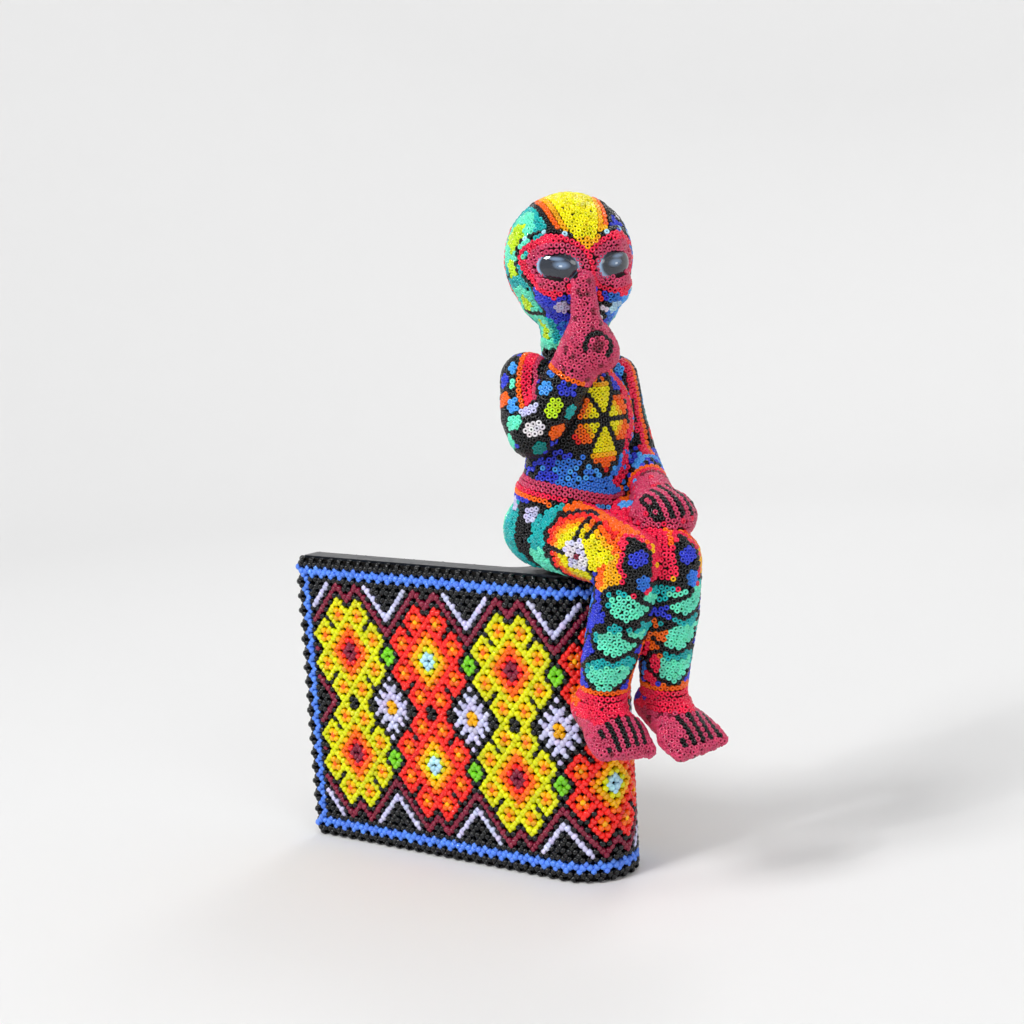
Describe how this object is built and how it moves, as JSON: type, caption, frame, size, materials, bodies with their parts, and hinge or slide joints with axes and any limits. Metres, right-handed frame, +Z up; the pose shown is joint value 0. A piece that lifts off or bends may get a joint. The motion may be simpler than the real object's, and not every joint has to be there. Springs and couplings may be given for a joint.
{
  "type": "huichol beaded figure",
  "caption": "Seated bead-covered folk-art figure with one finger raised to its face, on the rounded end of a thin upright stand wrapped in a netted bead panel of flower diamonds.",
  "frame": {"origin": "centre of the stand's round end, on the underside of the foot felt", "axes": "+Z up; +X along the stand towards its round end, where the figure sits; the flat beaded front faces -Y"},
  "size_m": [0.1631, 0.0692, 0.219],
  "materials": {
    "wood": "sanded",
    "peg": "sanded",
    "lacquer": "smooth dark lacquer over wax",
    "felt": "felt",
    "net": "glossy opaque glass seed beads",
    "rim": "glossy black glass seed beads",
    "skin_warm": "glossy opaque glass seed beads in wax",
    "skin_cool": "glossy opaque glass seed beads in wax",
    "skin_rose": "glossy opaque glass seed beads in wax",
    "eye": "glossy painted"
  },
  "bodies": {
    "root": {"stand_core": "wood", "stand_top_cover": "lacquer", "stand_foot_felt": "felt", "bead_net_panel": "net", "bead_net_top_rim": "rim", "bead_net_bottom_rim": "rim", "head_core": "wood", "head_beads": "skin_warm", "right_eye": "eye", "left_eye": "eye", "neck_peg": "peg", "torso_core": "wood", "torso_beads": "skin_warm", "seat_peg_right": "peg", "seat_peg_left": "peg", "right_arm_core": "wood", "right_upper_arm_beads": "skin_cool", "right_forearm_beads": "skin_cool", "right_hand_beads": "skin_rose", "right_leg_core": "wood", "right_thigh_beads": "skin_warm", "right_shin_beads": "skin_cool", "right_foot_beads": "skin_rose", "left_arm_core": "wood", "left_upper_arm_beads": "skin_cool", "left_forearm_beads": "skin_cool", "left_hand_beads": "skin_rose", "left_leg_core": "wood", "left_thigh_beads": "skin_warm", "left_shin_beads": "skin_cool", "left_foot_beads": "skin_rose"}
  },
  "joints": []
}
